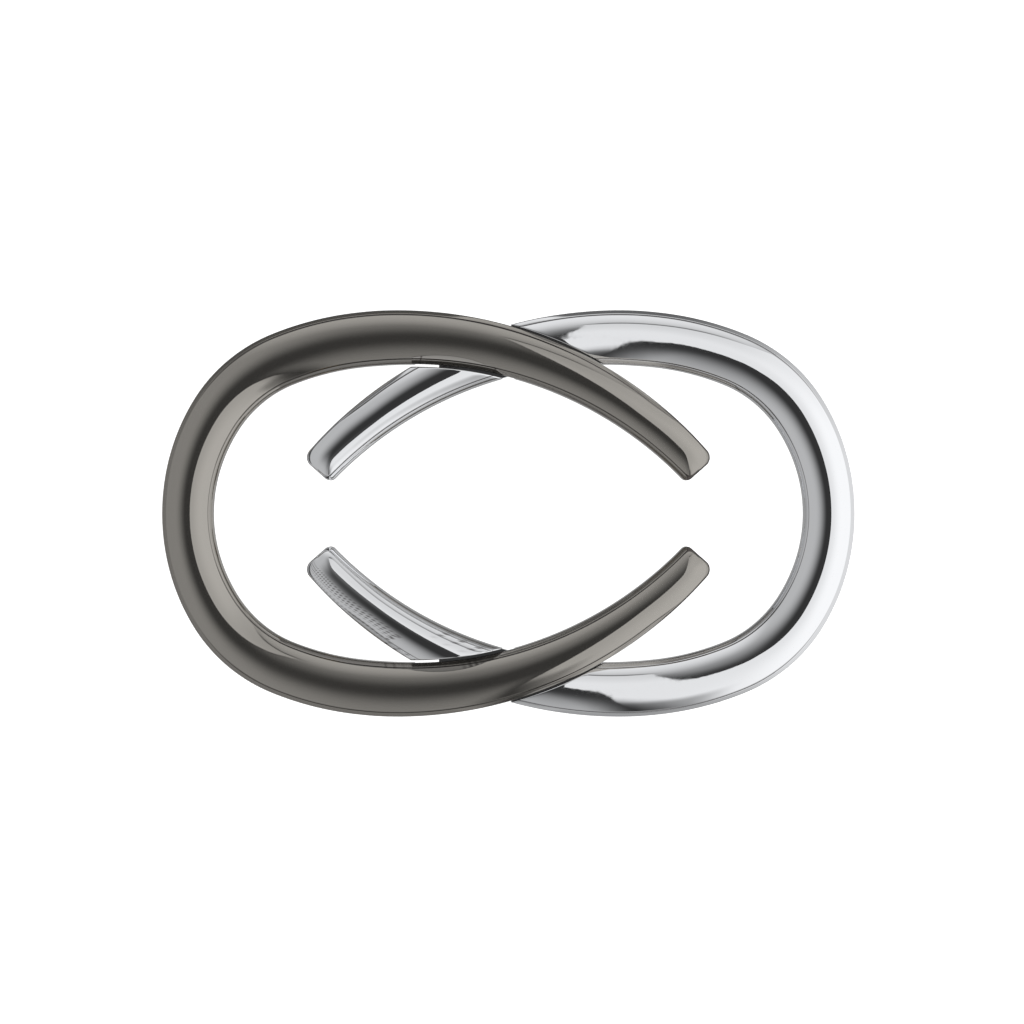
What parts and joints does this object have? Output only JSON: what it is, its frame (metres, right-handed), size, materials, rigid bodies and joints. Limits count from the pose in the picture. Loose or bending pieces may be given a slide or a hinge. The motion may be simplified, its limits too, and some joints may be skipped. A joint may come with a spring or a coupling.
{
  "type": "interlocked open-link ornament",
  "caption": "Two domed metal open links, one dark and one bright, half-lapped where they cross, with threaded studs behind.",
  "frame": {"origin": "middle of the ornament, on the flat plane of the two links' backs", "axes": "+Z out of the domed front, +X from the gunmetal link's closed end to the chrome link's, +Y up the front as worn"},
  "size_m": [0.072, 0.0422, 0.0105],
  "materials": {
    "gunmetal": "polished black nickel plate on zinc alloy",
    "chrome": "polished bright nickel plate on zinc alloy",
    "brass": "turned",
    "screw_steel": "bright zinc plate",
    "washer_steel": "bright zinc plate, pressed"
  },
  "bodies": {
    "ornament": {"gunmetal_link": "gunmetal", "chrome_link": "chrome", "lap_screw_upper": "screw_steel", "lap_screw_lower": "screw_steel", "stud_left_upper": "brass", "stud_left_lower": "brass", "stud_right_upper": "brass", "stud_right_lower": "brass"},
    "fixing_left_upper": {"nut_left_upper": "screw_steel", "washer_left_upper": "washer_steel"},
    "fixing_left_lower": {"nut_left_lower": "screw_steel", "washer_left_lower": "washer_steel"},
    "fixing_right_upper": {"nut_right_upper": "screw_steel", "washer_right_upper": "washer_steel"},
    "fixing_right_lower": {"nut_right_lower": "screw_steel", "washer_right_lower": "washer_steel"}
  },
  "joints": [
    {"name": "unscrew_left_upper", "type": "slide", "parent": "ornament", "child": "fixing_left_upper", "axis": [0, 0, -1], "range_m": [0, 0.0025]},
    {"name": "unscrew_left_lower", "type": "slide", "parent": "ornament", "child": "fixing_left_lower", "axis": [0, 0, -1], "range_m": [0, 0.0025]},
    {"name": "unscrew_right_upper", "type": "slide", "parent": "ornament", "child": "fixing_right_upper", "axis": [0, 0, -1], "range_m": [0, 0.0025]},
    {"name": "unscrew_right_lower", "type": "slide", "parent": "ornament", "child": "fixing_right_lower", "axis": [0, 0, -1], "range_m": [0, 0.0025]}
  ]
}
